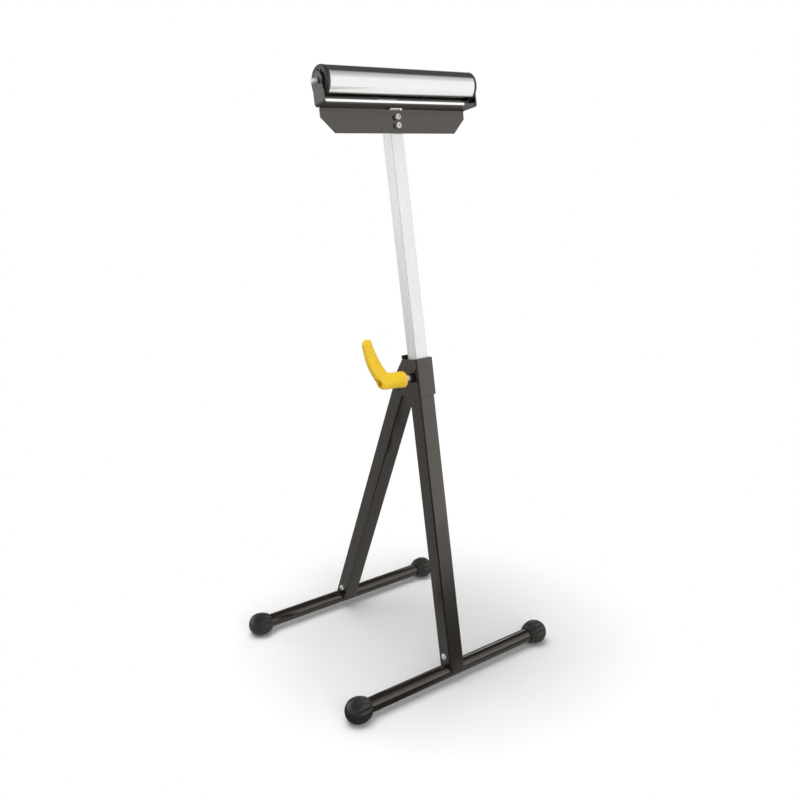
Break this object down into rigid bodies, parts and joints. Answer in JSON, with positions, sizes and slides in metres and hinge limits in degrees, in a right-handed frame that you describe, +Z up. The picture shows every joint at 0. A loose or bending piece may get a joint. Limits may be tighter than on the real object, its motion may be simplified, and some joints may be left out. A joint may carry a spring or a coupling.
{
  "type": "roller stand",
  "caption": "Folding A-frame roller stand with a sliding steel post, a chromed support roller in a bent bracket, a yellow clamp handle and rubber ball feet",
  "frame": {"origin": "On the floor, midway between the two foot bars and midway along them.", "axes": "+X along the roller and the foot bars, away from the clamp handle. +Y from the front leg to the rear leg. +Z up."},
  "size_m": [0.467, 0.413, 1.0806],
  "materials": {
    "black_paint": "gloss black powder paint on steel",
    "zinc": "bright zinc plate",
    "chrome": "polished chrome plate",
    "steel": "bare machined steel",
    "black_rubber": "moulded matt rubber",
    "black_plastic": "moulded nylon, satin",
    "yellow_plastic": "moulded plastic, satin"
  },
  "bodies": {
    "front_leg": {"front_leg_tube": "black_paint", "front_foot_stub": "black_paint", "front_foot_bolt": "zinc", "front_foot_nut": "zinc", "front_foot_bar": "black_paint", "front_foot_cap_left": "black_rubber", "front_foot_cap_right": "black_rubber", "hinge_bracket": "black_paint", "fold_stop_plate": "black_paint", "hinge_pin": "black_paint", "hinge_nut": "steel", "clamp_nut": "black_paint"},
    "rear_leg": {"rear_leg_tube": "black_paint", "rear_foot_stub": "black_paint", "rear_foot_bolt": "zinc", "rear_foot_nut": "zinc", "rear_foot_bar": "black_paint", "rear_foot_cap_left": "black_rubber", "rear_foot_cap_right": "black_rubber", "hinge_bush": "steel"},
    "post": {"post_tube": "zinc", "post_end_plug": "black_plastic", "roller_bracket": "black_paint", "head_bolt_upper": "zinc", "head_bolt_lower": "zinc", "head_nut_upper": "zinc", "head_nut_lower": "zinc", "roller_axle": "zinc", "axle_clip_left": "steel", "axle_clip_right": "steel", "axle_spacer_left": "steel", "axle_spacer_right": "steel", "bearing_inner_left": "steel", "bearing_inner_right": "steel"},
    "roller": {"roller_tube": "chrome", "roller_plug_left": "black_plastic", "roller_plug_right": "black_plastic", "bearing_outer_left": "steel", "bearing_outer_right": "steel"},
    "cage_left": {"bearing_balls_left": "steel"},
    "cage_right": {"bearing_balls_right": "steel"},
    "clamp_screw": {"clamp_screw": "zinc"},
    "clamp_handle": {"clamp_handle": "yellow_plastic"}
  },
  "joints": [
    {"name": "rear_leg_fold", "type": "hinge", "parent": "front_leg", "child": "rear_leg", "pos_m": [0, -0.05942, 0.54107], "axis": [-1, 0, 0], "range_deg": [0, 33.6]},
    {"name": "height_slide", "type": "slide", "parent": "front_leg", "child": "post", "axis": [0, 0.1478, 0.989], "range_m": [-0.375, 0.025]},
    {"name": "roller_spin", "type": "hinge", "parent": "post", "child": "roller", "pos_m": [0, -0.05891, 1.05524], "axis": [1, 0, 0], "continuous": true},
    {"name": "cage_left_spin", "type": "hinge", "parent": "post", "child": "cage_left", "pos_m": [0, -0.05891, 1.05524], "axis": [1, 0, 0], "continuous": true},
    {"name": "cage_right_spin", "type": "hinge", "parent": "post", "child": "cage_right", "pos_m": [0, -0.05891, 1.05524], "axis": [1, 0, 0], "continuous": true},
    {"name": "clamp_feed", "type": "slide", "parent": "front_leg", "child": "clamp_screw", "axis": [-1, 0, 0], "range_m": [0, 0.00226]},
    {"name": "clamp_turn", "type": "hinge", "parent": "clamp_screw", "child": "clamp_handle", "pos_m": [0, -0.1024, 0.56468], "axis": [-1, 0, 0], "range_deg": [0, 540]}
  ],
  "couplings": [
    {"joint": "cage_left_spin", "follows": "roller_spin", "ratio": 0.63158},
    {"joint": "cage_right_spin", "follows": "roller_spin", "ratio": 0.63158},
    {"joint": "clamp_feed", "follows": "clamp_turn", "m_per_rad": 0.00023873}
  ]
}
